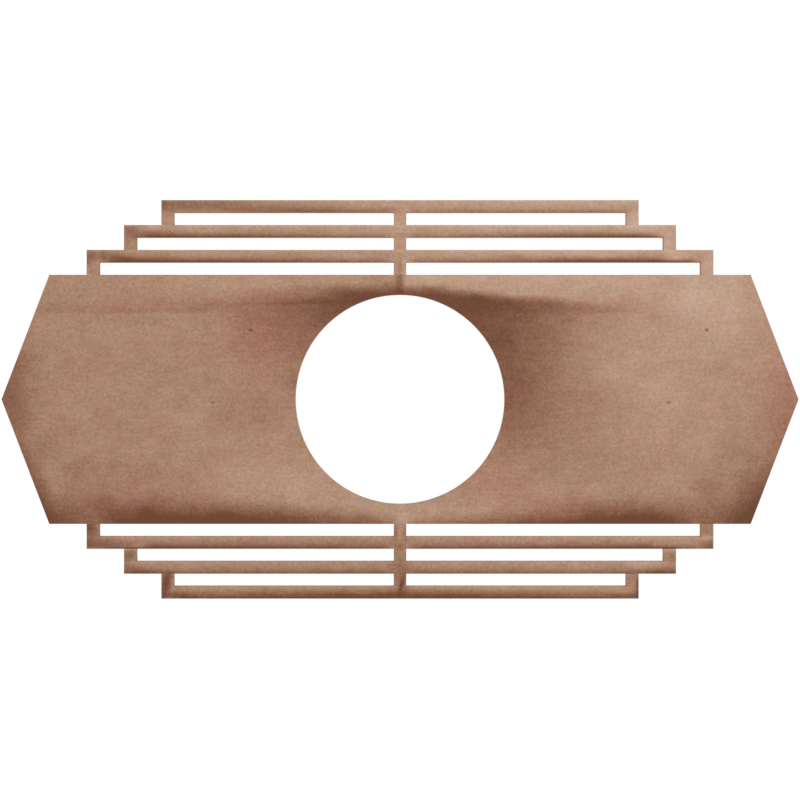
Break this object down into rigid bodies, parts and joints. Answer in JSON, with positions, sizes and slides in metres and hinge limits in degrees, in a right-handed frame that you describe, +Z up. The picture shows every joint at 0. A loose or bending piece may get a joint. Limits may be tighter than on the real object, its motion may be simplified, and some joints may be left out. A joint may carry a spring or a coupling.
{
  "type": "ceiling medallion",
  "caption": "Flat ceiling medallion: a long hexagonal panel with a round lamp hole and stepped open bars along both long edges, glued up behind a hanging lamp.",
  "frame": {"origin": "centre of the lamp hole, level with the ceiling that the back lies against", "axes": "+Z up into the ceiling, so the face looks down along -Z; +X along the long side; +Y across the bars"},
  "size_m": [0.508, 0.254, 0.0063],
  "materials": {
    "fibreboard": "sanded brown fibreboard with a thin clouded glaze, matt"
  },
  "bodies": {
    "root": {"medallion": "fibreboard"}
  },
  "joints": []
}
